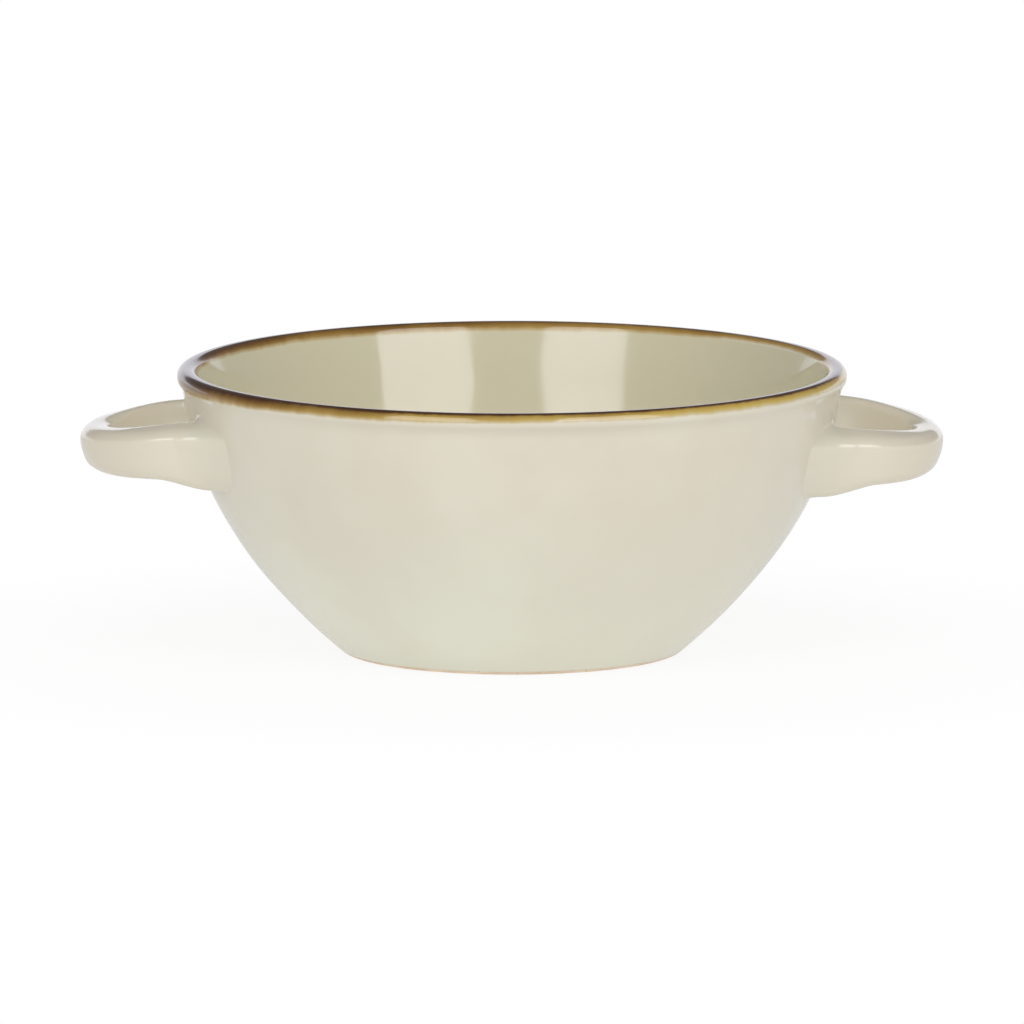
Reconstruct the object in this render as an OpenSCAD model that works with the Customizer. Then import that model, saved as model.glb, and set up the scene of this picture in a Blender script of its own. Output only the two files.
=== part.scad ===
// Lug soup bowl in glazed stoneware: a footed bowl with a loop lug on each side and a brown glazed rim.
// Millimetres, +Z up. The origin is on the bowl's axis, at the height of the table it stands on.
// The lugs lie along X, the right one at +X. The photograph looks at the bowl from the -Y side.

/* [Bowl] */
// Width of the bowl over its rim
rim_d = 140; // [110:1:180]
// Height of the rim above the table
bowl_h = 60; // [50:1:80]
// Thickness of the rounded lip
lip_t = 4.2; // [3:0.1:6]
// How far below the rim the wall ends and the neck under the lip begins
neck_drop = 6; // [5:0.1:9]
// How far the wall at the neck stands in from the widest line of the lip
neck_in = 1.75; // [1:0.05:3]
// Lean of the wall's outside at the neck, in degrees from upright
neck_lean = 6.5; // [2:0.5:12]
// Lean of the wall's outside at the foot, in degrees from upright
heel_lean = 49.5; // [35:0.5:60]
// Lean of the wall's inside at the lip, in degrees from upright
inside_lean = 9.7; // [4:0.1:14]
// Height of the inside floor above the table
floor_h = 7; // [5.5:0.1:10]
// Width of the level part of the inside floor
floor_d = 56; // [40:1:62]

/* [Foot] */
// Width of the bowl where its glaze stops above the foot
foot_d = 72; // [60:1:86]
// Height of the bare clay line above the table
bare_h = 0.9; // [0.5:0.1:2]
// How far the rounded heel draws in from the bare clay line to the standing face
heel_round = 3; // [2:0.1:5]
// Width of the ring-shaped standing face
stand_w = 3.6; // [2.5:0.1:6]
// How far the inner side of the foot ring leans in from its standing face
foot_lean_in = 1; // [0.5:0.1:2]
// Depth of the recess under the floor
recess_h = 2.5; // [1.5:0.1:3.5]

/* [Lugs] */
// How far the strap's outer face, at half its height, lies past the rim at the tip
lug_reach = 20.2; // [16:0.1:28]
// Width across the two arms of a lug
lug_w = 47; // [38:1:58]
// Thickness of the lug's strap at half its height
strap_t = 7; // [5.5:0.1:9]
// How far below the rim the top of a lug's tip lies
tip_drop = 11.8; // [10:0.1:15]
// Height of the strap at the tip
tip_h = 9.5; // [7:0.1:12]
// How far below the rim the top of a lug's root lies
root_drop = 9.1; // [8.5:0.1:12]
// Height of the strap at the root
root_h = 14.5; // [11:0.1:17]
// Draft of the strap's outer face, in degrees
outer_draft = 9; // [0:0.5:14]
// Draft of the strap's inner face, in degrees
inner_draft = 3; // [0:0.5:8]
// Twist with which the left lug was pressed on, in degrees
left_twist = 2; // [-3:0.1:3]
// Twist with which the right lug was pressed on, in degrees
right_twist = 1.9; // [-3:0.1:3]
// How much lower than the left lug the right one was pressed on
right_lower = 0.9; // [0:0.1:2]

/* [Slip] */
// Radius of the slip fillet between a lug's arm and the wall, at half the arm's height
slip_r = 2.8; // [1.5:0.1:4]
// Thickness of the slip where it ends on the arm
slip_edge = 0.35; // [0.2:0.05:0.6]

/* [Glaze] */
// Thickness of the glaze coats
glaze_t = 0.4; // [0.25:0.05:0.8]
// Where the brown band ends outside, in degrees of the lip's round above its widest line
band_edge = 15; // [-30:1:50]

/* [Hidden] */
$fn = 240;

// Facets along each curve of the wall's section, and along and round a lug
wall_steps = 24;
neck_steps = 6;
lip_steps = 20;
heel_steps = 6;
loop_steps = 28;
arm_steps = 4;
strap_sides = 24;
slip_steps = 6;

// Reach of the handles of the wall's curves, as shares of the straight line between their ends
heel_pull_share = 0.294;
neck_pull_share = 0.371;
lip_pull_share = 0.53;
floor_pull_share = 0.14;
bead_pull_share = 0.4;

// Where on the way from tip to root the strap's underside starts to flare
flare_start_share = 0.66;
// How much wider the slip fillet is above an arm, and narrower under it, than at half its height
slip_lean_share = 0.4;
// How squarely the strap's section is rounded: 2 is an ellipse, more is squarer
strap_square = 2.6;

rim_r = rim_d / 2;
foot_r = foot_d / 2;
lip_r = lip_t / 2;
floor_r = floor_d / 2;
stand_r = foot_r - heel_round;
stand_in_r = stand_r - stand_w;
recess_r = stand_in_r - foot_lean_in;
// Height of the joint between the foot ring and the bowl, behind the glaze of the recess
joint_h = recess_h + glaze_t;
// Points of an outline nearer to each other than this are one point
least_step = glaze_t / 20;

// Centre of the lip's round section
lip_centre = [rim_r - lip_r, bowl_h - lip_r];
// Angle on the lip's round at which the neck runs into it
bead_angle = -45;
inner_angle = 180 - inside_lean;

// Points on curves: each item is a place and the outward unit normal of the surface there
function unit(v) = v / norm(v);
function right_of(v) = [v[1], -v[0]];
function way(lean) = [sin(lean), cos(lean)];
function polar(centre, r, a) = centre + r * [cos(a), sin(a)];
function bezier(c, t) =
    pow(1 - t, 3) * c[0] + 3 * pow(1 - t, 2) * t * c[1] + 3 * (1 - t) * t * t * c[2] + pow(t, 3) * c[3];
function bezier_way(c, t) =
    pow(1 - t, 2) * (c[1] - c[0]) + 2 * (1 - t) * t * (c[2] - c[1]) + t * t * (c[3] - c[2]);
function curve(c, steps) =
    [for (i = [0:steps]) [bezier(c, i / steps), unit(right_of(bezier_way(c, i / steps)))]];
function pulled(start, start_way, start_share, end, end_way, end_share) =
    let (reach = norm(end - start))
    [start, start + start_share * reach * start_way, end - end_share * reach * end_way, end];
function lip_arc(a0, a1, steps) = [
    for (i = [0:steps])
        let (a = a0 + (a1 - a0) * i / steps)
        [polar(lip_centre, lip_r, a), [cos(a), sin(a)]]
];

// The glazed surface from the foot up the outside, over the lip and down the inside to the floor
wall_foot = [foot_r, bare_h];
wall_neck = [rim_r - neck_in, bowl_h - neck_drop];
bead_start = polar(lip_centre, lip_r, bead_angle);
inside_start = polar(lip_centre, lip_r, inner_angle);
floor_edge = [floor_r, floor_h];
wall_pull = pulled(wall_foot, way(heel_lean), heel_pull_share, wall_neck, way(neck_lean), neck_pull_share);
neck_pull = pulled(wall_neck, way(neck_lean), bead_pull_share, bead_start, way(-bead_angle), bead_pull_share);
inside_pull = pulled(
    inside_start, -way(inside_lean), lip_pull_share, floor_edge, way(-90), floor_pull_share);
wall_curve = curve(wall_pull, wall_steps);
neck_curve = curve(neck_pull, neck_steps);
lip_below = lip_arc(bead_angle, band_edge, neck_steps);
lip_band = lip_arc(band_edge, inner_angle, lip_steps);
inside_curve = curve(inside_pull, wall_steps);
floor_middle = [[[0, floor_h], [0, 1]]];

outside_skin = concat(wall_curve, neck_curve, lip_below);
inside_skin = concat(inside_curve, floor_middle);

// The places on a skin, moved in from the surface by a depth
function at_depth(skin, depth) = [for (s = skin) s[0] - depth * s[1]];
function backwards(list) = [for (i = [len(list) - 1:-1:0]) list[i]];
// The same list without points that lie on the one before
function spaced(list) =
    [for (i = [0:len(list) - 1]) if (i == 0 || norm(list[i] - list[i - 1]) > least_step) list[i]];

// A coat of glaze between a skin and the clay behind it
module coat(skin) {
    rotate_extrude()
        polygon(spaced(concat(at_depth(skin, 0), backwards(at_depth(skin, glaze_t)))));
}

// The heel's round from the standing face up to the bare clay line
heel_corner = [foot_r - bare_h * tan(heel_lean), 0];
heel_curve = [
    for (i = [0:heel_steps]) let (t = i / heel_steps)
        pow(1 - t, 2) * [stand_r, 0] + 2 * (1 - t) * t * heel_corner + t * t * wall_foot
];

// Half section of all the clay, foot ring and bowl together
module clay_section() {
    polygon(spaced(concat(
        [[0, joint_h], [recess_r, joint_h], [stand_in_r, 0]],
        heel_curve,
        at_depth(outside_skin, glaze_t),
        at_depth(lip_band, glaze_t),
        at_depth(inside_skin, glaze_t)
    )));
}

module clay_bowl() {
    color([0.90, 0.84, 0.74])
        rotate_extrude()
            intersection() {
                clay_section();
                translate([0, joint_h]) square([rim_r, bowl_h]);
            }
}

module foot_ring() {
    color([0.84, 0.72, 0.61])
        rotate_extrude()
            intersection() {
                clay_section();
                square([rim_r, joint_h]);
            }
}

// What the lugs and their slip are cut back to: the clay of the bowl, filled in to its axis
module filled_clay() {
    rotate_extrude()
        polygon(spaced(concat(
            [[0, bare_h]],
            at_depth(outside_skin, glaze_t),
            at_depth(lip_band, glaze_t),
            [[0, bowl_h]]
        )));
}

// Radius of the glazed outside at a height
wall_table = [for (p = at_depth(concat(wall_curve, neck_curve), 0)) [p[1], p[0]]];
function wall_r(z) = lookup(z, wall_table);

// A lug in its own frame: its first axis points out from the bowl and its second across the arms.
// Its centre line runs straight out to the rim's circle and then round half an ellipse.
loop_x = lug_reach - strap_t / 2;
loop_y = (lug_w - strap_t) / 2;
tip_top = bowl_h - tip_drop;
tip_bottom = tip_top - tip_h;
root_top = bowl_h - root_drop;
root_bottom = root_top - root_h;
root_mid = (root_top + root_bottom) / 2;
// Where the centre line meets the wall, and the lengths of its straight arm and of a quarter of its bend
root_x = sqrt(pow(wall_r(root_mid), 2) - pow(loop_y, 2));
arm_l = rim_r - root_x;
bend_l = PI / 2 * sqrt((loop_x * loop_x + loop_y * loop_y) / 2);

// Share of the way from the tip to the root, and the strap's top and underside there
function arm_share(out) = min(1, (bend_l + rim_r - out) / (bend_l + arm_l));
function bend_share(a) = abs(a) / 90 * bend_l / (bend_l + arm_l);
function eased(x) = let (s = max(0, min(1, x))) s * s * (3 - 2 * s);
function strap_top(share) = tip_top + (root_top - tip_top) * eased(share);
function strap_bottom(share) =
    tip_bottom + (root_bottom - tip_bottom) * eased((share - flare_start_share) / (1 - flare_start_share));

// A point round the strap's section: how far it lies outside the strap's centre line, and its height
function rounded(x) = sign(x) * pow(abs(x), 2 / strap_square);
function strap_point(share, a, grow) =
    let (
        top = strap_top(share),
        bottom = strap_bottom(share),
        rise = (top - bottom) / 2 * rounded(sin(a)),
        z = (top + bottom) / 2 + rise + grow * rounded(sin(a)),
        out = strap_t / 2 + rise * tan(outer_draft),
        in = -strap_t / 2 - rise * tan(inner_draft)
    )
    [(out + in) / 2 + ((out - in) / 2 + grow) * rounded(cos(a)), z];

// A point as its lug was pressed on: pose is the lug's twist about its own axis, and how much lower it sits
function pressed(p, pose) =
    let (up = p[2] - root_mid, turn = pose[0])
    [p[0], p[1] * cos(turn) - up * sin(turn), root_mid - pose[1] + p[1] * sin(turn) + up * cos(turn)];
left_pose = [left_twist, 0];
right_pose = [right_twist, right_lower];

// Rings of points along the strap: in along one arm, round the loop and back along the other arm
function arm_ring(side, out) =
    [for (j = [0:strap_sides - 1])
        let (s = strap_point(arm_share(out), 360 * j / strap_sides, 0)) [out, side * (loop_y + s[0]), s[1]]];
function loop_ring(a) =
    let (
        centre = [rim_r + loop_x * cos(a), loop_y * sin(a)],
        outward = unit([loop_y * cos(a), loop_x * sin(a)])
    )
    [for (j = [0:strap_sides - 1])
        let (
            s = strap_point(bend_share(a), 360 * j / strap_sides, 0),
            p = centre + s[0] * outward
        )
        [p[0], p[1], s[1]]];
arm_places = concat([root_x - strap_t], [for (i = [0:arm_steps - 1]) root_x + arm_l * i / arm_steps]);
strap_rings = concat(
    [for (out = arm_places) arm_ring(-1, out)],
    [for (i = [0:loop_steps]) loop_ring(-90 + 180 * i / loop_steps)],
    [for (out = backwards(arm_places)) arm_ring(1, out)]
);

// Rings of the slip round one arm, from inside the wall out to the slip's edge on the arm.
// The first ring is sunk in the clay, and the others follow a round hollow.
slip_stages = concat(
    [[-strap_t / 2, slip_r]],
    [[-glaze_t / 2, slip_r]],
    [for (i = [1:slip_steps]) let (s = slip_r * i / slip_steps)
        [s, slip_r - sqrt(pow(slip_r, 2) - pow(slip_r - s, 2))]]
);
function slip_ring(side, pose, stage) =
    [for (j = [0:strap_sides - 1])
        let (
            a = 360 * j / strap_sides,
            wide = 1 + slip_lean_share * sin(a),
            s = strap_point(1, a, slip_edge + wide * stage[1]),
            p = pressed([0, side * (loop_y + s[0]), s[1]], pose),
            out = sqrt(pow(wall_r(p[2]), 2) - pow(p[1], 2)) + wide * stage[0]
        )
        [out, p[1], p[2]]];

// A closed skin over rings of points, with a fan of triangles on each end
function middle(ring) = [for (k = [0:2]) [for (p = ring) p[k]] * [for (p = ring) 1] / len(ring)];
module skinned(rings) {
    sides = len(rings[0]);
    last = len(rings) - 1;
    start = len(rings) * sides;
    points = concat([for (ring = rings) each ring], [middle(rings[0]), middle(rings[last])]);
    walls = [
        for (i = [0:last - 1], j = [0:sides - 1])
            let (a = i * sides + j, b = i * sides + (j + 1) % sides)
            each [[a, b, b + sides], [a, b + sides, a + sides]]
    ];
    caps = [
        for (j = [0:sides - 1])
            let (k = (j + 1) % sides)
            each [[start, k, j], [start + 1, last * sides + j, last * sides + k]]
    ];
    polyhedron(points, concat(walls, caps));
}

module strap(pose) {
    skinned([for (ring = strap_rings) [for (p = ring) pressed(p, pose)]]);
}

module slip_collars(pose) {
    for (side = [-1, 1])
        skinned([for (stage = side < 0 ? slip_stages : backwards(slip_stages)) slip_ring(side, pose, stage)]);
}

module lug(pose) {
    difference() {
        strap(pose);
        filled_clay();
    }
}

module lug_slip(pose) {
    difference() {
        slip_collars(pose);
        strap(pose);
        filled_clay();
    }
}

module left_side() {
    rotate([0, 0, 180]) children();
}

module left_lug() {
    color([0.87, 0.83, 0.75]) left_side() lug(left_pose);
}

module right_lug() {
    color([0.87, 0.83, 0.75]) lug(right_pose);
}

module left_lug_slip() {
    color([0.85, 0.81, 0.72]) left_side() lug_slip(left_pose);
}

module right_lug_slip() {
    color([0.85, 0.81, 0.72]) lug_slip(right_pose);
}

// The ivory glaze on the outside, open where the lugs and their slip stand on the clay
module outside_glaze() {
    color([0.87, 0.85, 0.78])
        difference() {
            coat(outside_skin);
            left_side() slip_collars(left_pose);
            slip_collars(right_pose);
        }
}

module inside_glaze() {
    color([0.80, 0.77, 0.66]) coat(inside_skin);
}

module base_glaze() {
    color([0.86, 0.84, 0.76])
        translate([0, 0, recess_h])
            cylinder(h = glaze_t, r = recess_r);
}

module rim_band() {
    color([0.48, 0.33, 0.14]) coat(lip_band);
}

clay_bowl();
foot_ring();
left_lug();
right_lug();
left_lug_slip();
right_lug_slip();
outside_glaze();
inside_glaze();
base_glaze();
rim_band();
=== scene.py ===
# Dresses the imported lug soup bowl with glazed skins, pressed-on loops and a turned foot, in a pale studio
import logging
import math
from dataclasses import dataclass, field
from enum import Enum

import bpy
import numpy as np
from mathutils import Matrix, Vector


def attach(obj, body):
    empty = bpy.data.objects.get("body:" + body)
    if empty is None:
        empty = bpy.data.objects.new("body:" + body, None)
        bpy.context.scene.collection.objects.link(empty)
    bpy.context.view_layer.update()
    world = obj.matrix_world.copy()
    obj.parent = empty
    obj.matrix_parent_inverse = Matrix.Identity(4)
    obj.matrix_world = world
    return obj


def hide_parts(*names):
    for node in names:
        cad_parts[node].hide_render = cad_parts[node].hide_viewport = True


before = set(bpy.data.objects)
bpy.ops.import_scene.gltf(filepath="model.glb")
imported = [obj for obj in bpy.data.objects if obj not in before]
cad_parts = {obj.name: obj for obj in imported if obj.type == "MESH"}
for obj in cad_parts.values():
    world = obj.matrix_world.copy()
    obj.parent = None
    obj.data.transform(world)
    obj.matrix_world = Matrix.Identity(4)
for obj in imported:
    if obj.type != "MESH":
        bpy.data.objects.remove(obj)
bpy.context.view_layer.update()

LOG = logging.getLogger("lug_bowl")
MM = 0.001
WELD = 1e-8
TINY = 1e-12
FULL_TURN = 2.0 * math.pi
WHITE = (1.0, 1.0, 1.0, 1.0)
AIM_HEIGHT = 0.04
CLOUD_EDGES = (0.35, 0.65)
GRAIN_EDGES = (0.3, 0.7)
Pair = tuple[float, float]
Triple = tuple[float, float, float]
Arrays = tuple[np.ndarray, np.ndarray]
Colour = tuple[float, float, float]
Stop = tuple[float, float, float, float, float]
Socket = bpy.types.NodeSocket


class Side(Enum):
    """Which side of the bowl a lug is pressed on."""

    LEFT = "left"
    RIGHT = "right"


class Arm(Enum):
    """Which arm of a lug, by the way it lies from the lug's middle."""

    NEAR = -1
    FAR = 1


def eased(x: np.ndarray) -> np.ndarray:
    """Gives the smooth step 3x² - 2x³ of shares that are held between 0 and 1."""
    share = np.clip(x, 0.0, 1.0)
    return share * share * (3.0 - 2.0 * share)


def unit(vectors: np.ndarray) -> np.ndarray:
    """Gives vectors the length one along their last axis."""
    return vectors / np.maximum(np.linalg.norm(vectors, axis=-1, keepdims=True), TINY)


def powered(x: np.ndarray, power: np.ndarray | float) -> np.ndarray:
    """Raises the sizes of numbers to a power and keeps their signs."""
    return np.sign(x) * np.abs(x) ** power


def bump(turn: np.ndarray, side: float, power: int) -> np.ndarray:
    """Gives (½ + ½·cos(turn - side)) to a power, a bump of height 1 at a side in degrees."""
    return (0.5 + 0.5 * np.cos(turn - math.radians(side))) ** power


def facing(normals: np.ndarray, way: np.ndarray) -> np.ndarray:
    """Turns all normals over if they look against a way on the whole."""
    return -normals if np.sum(normals * way) < 0 else normals


def direction(azimuth: float, elevation: float) -> Triple:
    """Gives the way from the bowl by an azimuth from the front and an elevation, both in degrees."""
    turn, rise = math.radians(azimuth), math.radians(elevation)
    return math.sin(turn) * math.cos(rise), -math.cos(turn) * math.cos(rise), math.sin(rise)


def linked(name: str, data: bpy.types.ID) -> bpy.types.Object:
    """Makes an object that holds some data and links it to the scene.

    Args:
        name: Name of the object.
        data: Its mesh, lamp or camera.

    Returns:
        The new object.
    """
    made = bpy.data.objects.new(name, data)
    bpy.context.scene.collection.objects.link(made)
    return made


def aimed(name: str, data: bpy.types.ID, way: Triple, distance: float, height: float) -> bpy.types.Object:
    """Links an object away from a place on the bowl's axis and turns it to look at that place.

    Args:
        name: Name of the object.
        data: Its lamp or camera.
        way: Direction from the place to the object.
        distance: Distance between them in metres.
        height: Height of the place.

    Returns:
        The new object.
    """
    made = linked(name, data)
    back = Vector(way)
    made.location = Vector((0.0, 0.0, height)) + back * distance
    made.rotation_euler = (-back).to_track_quat("-Z", "Y").to_euler()
    return made


def cubic(poles: np.ndarray, t: np.ndarray) -> Arrays:
    """Follows a cubic Bezier line: each pole weighted by its Bernstein share of t.

    Args:
        poles: Four poles, as the first axis.
        t: Shares of the way along the line, with a last axis of length one.

    Returns:
        The places and the directions of travel.
    """
    back = 1.0 - t
    places = back**3 * poles[0] + 3 * back**2 * t * poles[1] + 3 * back * t**2 * poles[2] + t**3 * poles[3]
    steps = poles[1:] - poles[:-1]
    return places, back**2 * steps[0] + 2 * back * t * steps[1] + t**2 * steps[2]


def ripples(
    turn: np.ndarray, along: np.ndarray, seed: int, count: int = 14, least: float = 16.0
) -> np.ndarray:
    """Adds up long cosine waves that close on themselves round a turn, from about -1 to 1.

    Each wave is cos(m·turn + 2π·along/length + phase), with 1 to 9 whole waves m round the turn and a
    length of one to four times the least, with either sign.

    Args:
        turn: Angles round the piece in radians.
        along: Distances along the piece in millimetres.
        seed: Seed of the fixed choice of waves.
        count: Number of waves.
        least: Shortest wave along the piece in millimetres.

    Returns:
        The height of the ripples at each place.
    """
    pick = np.random.default_rng(seed)
    shape = (count,) + (1,) * np.broadcast(turn, along).ndim
    around = pick.integers(1, 10, count).reshape(shape)
    length = (least * 4.0 ** pick.random(count) * pick.choice([-1.0, 1.0], count)).reshape(shape)
    phase = (FULL_TURN * pick.random(count)).reshape(shape)
    waves = np.cos(around * turn[None] + FULL_TURN * along[None] / length + phase)
    return waves.sum(axis=0) / math.sqrt(count)


def spun(radius: np.ndarray | float, height: np.ndarray | float, turn: np.ndarray) -> np.ndarray:
    """Carries a radius, a column or a grid of them, and their heights round the axis: (r·cos, r·sin, z)."""
    across = radius * np.cos(turn)
    return np.stack([across, radius * np.sin(turn), np.broadcast_to(height, across.shape)], axis=-1)


def grid_faces(rows: int, columns: int, close_rows: bool = False) -> np.ndarray:
    """Gives the four corners of each face of a grid whose columns close on themselves.

    Args:
        rows: Number of rows.
        columns: Number of columns.
        close_rows: Whether the rows close on themselves too.

    Returns:
        An array of rows of four indices into the flattened grid.
    """
    index = np.arange(rows * columns).reshape(rows, columns)
    if close_rows:
        index = np.vstack([index, index[:1]])
    index = np.hstack([index, index[:, :1]])
    corners = [index[:-1, :-1], index[:-1, 1:], index[1:, 1:], index[1:, :-1]]
    return np.stack(corners, axis=-1).reshape(-1, 4)


def grid_normals(points: np.ndarray) -> np.ndarray:
    """Gives a grid's unit normals: differences round its closed columns crossed with those along rows."""
    around = np.roll(points, -1, axis=1) - np.roll(points, 1, axis=1)
    return unit(np.cross(around, np.gradient(points, axis=0)))


@dataclass
class Sheet:
    """A grid of places with the outward normal and named values at each; its columns close on themselves."""

    points: np.ndarray
    normals: np.ndarray
    values: dict[str, np.ndarray] = field(default_factory=dict)
    close_rows: bool = False

    def corners(self) -> np.ndarray:
        """Gives the four corners of each face, wound so that the faces look the way of the normals.

        Returns:
            An array of rows of four indices into the flattened grid.
        """
        quads = grid_faces(*self.points.shape[:2], self.close_rows)
        places = self.points.reshape(-1, 3)
        corner = [places[quads[:, number]] for number in range(4)]
        across = np.cross(corner[2] - corner[0], corner[3] - corner[1])
        looks = np.einsum("ij,ij->", across, self.normals.reshape(-1, 3)[quads].mean(axis=1))
        return quads[:, ::-1] if looks < 0 else quads


@dataclass(frozen=True)
class Piece:
    """A finished piece: its name, the node that it stands for, and a slot name, which is not used."""

    name: str
    node: str
    slot: str

    def build(self, sheets: list[Sheet], material: bpy.types.Material) -> None:
        """Joins sheets into one closed mesh, welds the places they share and keeps each sheet's own normals.

        The new object rides on the body and stands for its node.

        Args:
            sheets: The sheets of the piece, in millimetres.
            material: The piece's finish.
        """
        points = np.concatenate([sheet.points.reshape(-1, 3) for sheet in sheets]) * MM
        normals = np.concatenate([sheet.normals.reshape(-1, 3) for sheet in sheets])
        starts = np.cumsum([0] + [sheet.points.size // 3 for sheet in sheets])
        corners = np.concatenate([sheet.corners() + start for sheet, start in zip(sheets, starts)])
        cells = np.round(points / WELD).astype(np.int64)
        _, first, welded = np.unique(cells, axis=0, return_index=True, return_inverse=True)
        faces = welded.reshape(-1)[corners]
        keep = faces != np.roll(faces, -1, axis=1)
        counts = keep.sum(axis=1)
        keep[counts < 3] = False
        counts = counts[counts >= 3]
        loops = faces[keep].astype(np.int32)
        loop_starts = np.concatenate([[0], np.cumsum(counts)[:-1]]).astype(np.int32)
        mesh = bpy.data.meshes.new(self.name)
        mesh.vertices.add(len(first))
        mesh.vertices.foreach_set("co", points[first].ravel())
        mesh.loops.add(len(loops))
        mesh.loops.foreach_set("vertex_index", loops)
        mesh.polygons.add(len(counts))
        mesh.polygons.foreach_set("loop_start", loop_starts)
        mesh.polygons.foreach_set("use_smooth", np.ones(len(counts), dtype=bool))
        mesh.update(calc_edges=True)
        mesh.normals_split_custom_set(normals[corners][keep])
        for name in sorted({name for sheet in sheets for name in sheet.values}):
            parts = [sheet.values.get(name, np.zeros(sheet.points.shape[:2])).ravel() for sheet in sheets]
            layer = mesh.attributes.new(name, "FLOAT", "POINT")
            layer.data.foreach_set("value", np.concatenate(parts)[first])
        piece = linked(self.name, mesh)
        mesh.materials.append(material)
        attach(piece, "root")
        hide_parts(self.node)
        LOG.info("%s: %d places, %d faces", self.name, len(first), len(counts))


@dataclass(frozen=True)
class BowlSizes:
    """Sizes of the thrown bowl in millimetres and degrees, close to those of the solid model.

    The lip's section has the power lip_square. The band is the brown glaze's piece, which starts at an
    angle on the lip, and the bead below it ends at another.
    """

    rim_d: float = 140.0
    bowl_h: float = 60.0
    lip_t: float = 4.2
    lip_square: float = 2.35
    neck_drop: float = 6.0
    neck_in: float = 1.35
    neck_lean: float = 5.5
    heel_lean: float = 49.5
    roll_lean: float = 18.0
    roll_drop: float = 11.0
    roll_in: float = 6.75
    inside_lean: float = 12.0
    floor_h: float = 7.0
    floor_d: float = 56.0
    foot_d: float = 72.0
    bare_h: float = 0.9
    heel_round: float = 3.0
    stand_w: float = 3.6
    foot_lean_in: float = 1.0
    recess_h: float = 2.5
    recess_dome: float = 0.1
    recess_wave: float = 0.02
    glaze_t: float = 0.4
    band_edge: float = 15.0
    bead_angle: float = -10.0

    def stand_radii(self) -> Triple:
        """Gives the outer and inner radius of the flat that the bowl stands on, and the recess's radius."""
        stand_r = self.foot_d / 2 - self.heel_round
        return stand_r, stand_r - self.stand_w, stand_r - self.stand_w - self.foot_lean_in


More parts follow.
